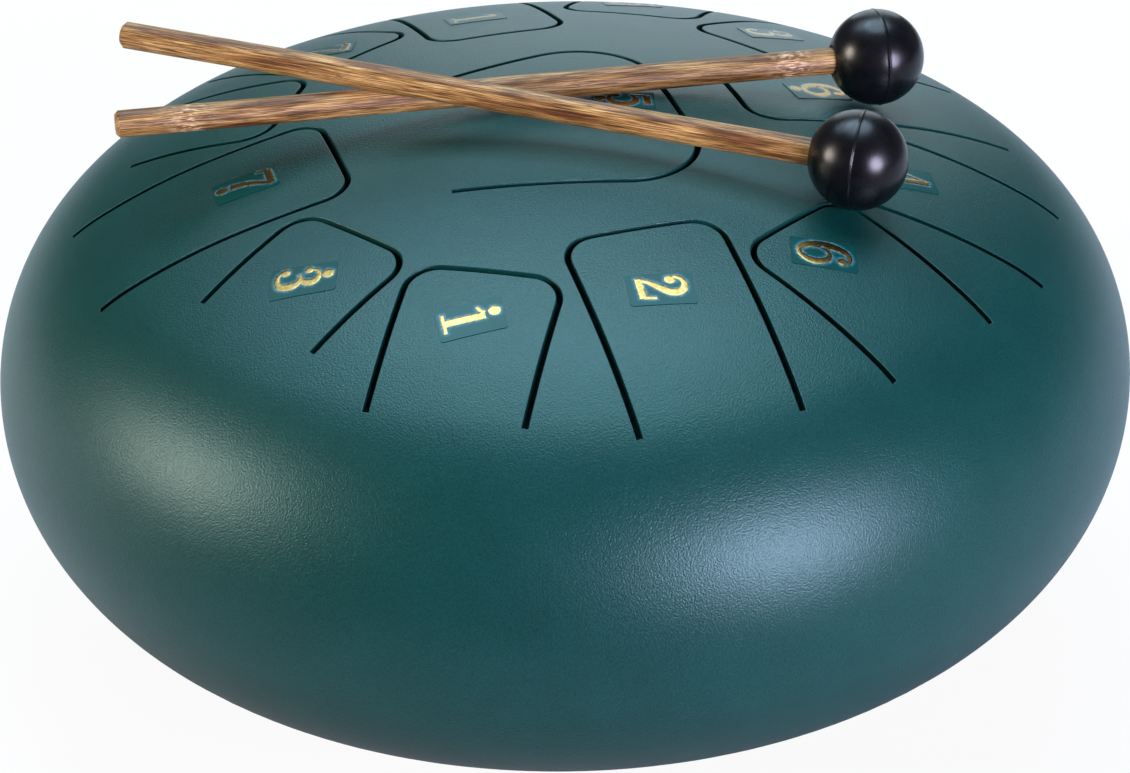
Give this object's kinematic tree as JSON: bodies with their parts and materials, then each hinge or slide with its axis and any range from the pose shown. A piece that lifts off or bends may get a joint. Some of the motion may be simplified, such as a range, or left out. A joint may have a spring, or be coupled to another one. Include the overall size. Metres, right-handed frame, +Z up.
{
  "type": "steel tongue drum",
  "caption": "Round steel tongue drum with slit-cut tongues, note labels, a sound hole underneath, rubber feet and a pair of rubber-headed mallets lying on top.",
  "frame": {"origin": "on the ground under the middle of the drum, level with the undersides of the four feet", "axes": "+Z up along the drum's axis; +X to the player's far side, the way the tops of the numerals point; +Y to the player's left"},
  "size_m": [0.3048, 0.3048, 0.1764],
  "materials": {
    "shell_paint": "satin teal powder coat",
    "weld_steel": "raw weld bead",
    "label_film": "clear film with gold foil numeral",
    "foot_rubber": "moulded black rubber",
    "fastener_steel": "zinc plated",
    "stick_wood": "streaky brown, lightly varnished",
    "head_rubber": "satin moulded rubber"
  },
  "bodies": {
    "drum": {"upper_shell": "shell_paint", "lower_shell": "shell_paint", "seam_weld": "weld_steel", "label_low_5": "label_film", "label_low_6": "label_film", "label_low_7": "label_film", "label_1": "label_film", "label_2": "label_film", "label_3": "label_film", "label_4": "label_film", "label_5": "label_film", "label_6": "label_film", "label_7": "label_film", "label_high_1": "label_film", "label_high_2": "label_film", "label_high_3": "label_film", "foot_1": "foot_rubber", "foot_2": "foot_rubber", "foot_3": "foot_rubber", "foot_4": "foot_rubber", "foot_screws": "fastener_steel", "foot_washers": "fastener_steel", "foot_nuts": "fastener_steel"},
    "lower_mallet": {"lower_mallet_stick": "stick_wood", "lower_mallet_head": "head_rubber"},
    "upper_mallet": {"upper_mallet_stick": "stick_wood", "upper_mallet_head": "head_rubber"}
  },
  "joints": [
    {"name": "lower_mallet_lift", "type": "slide", "parent": "drum", "child": "lower_mallet", "axis": [0, 0, 1], "range_m": [0, 0.15]},
    {"name": "upper_mallet_lift", "type": "slide", "parent": "lower_mallet", "child": "upper_mallet", "axis": [0, 0, 1], "range_m": [0, 0.15]}
  ]
}
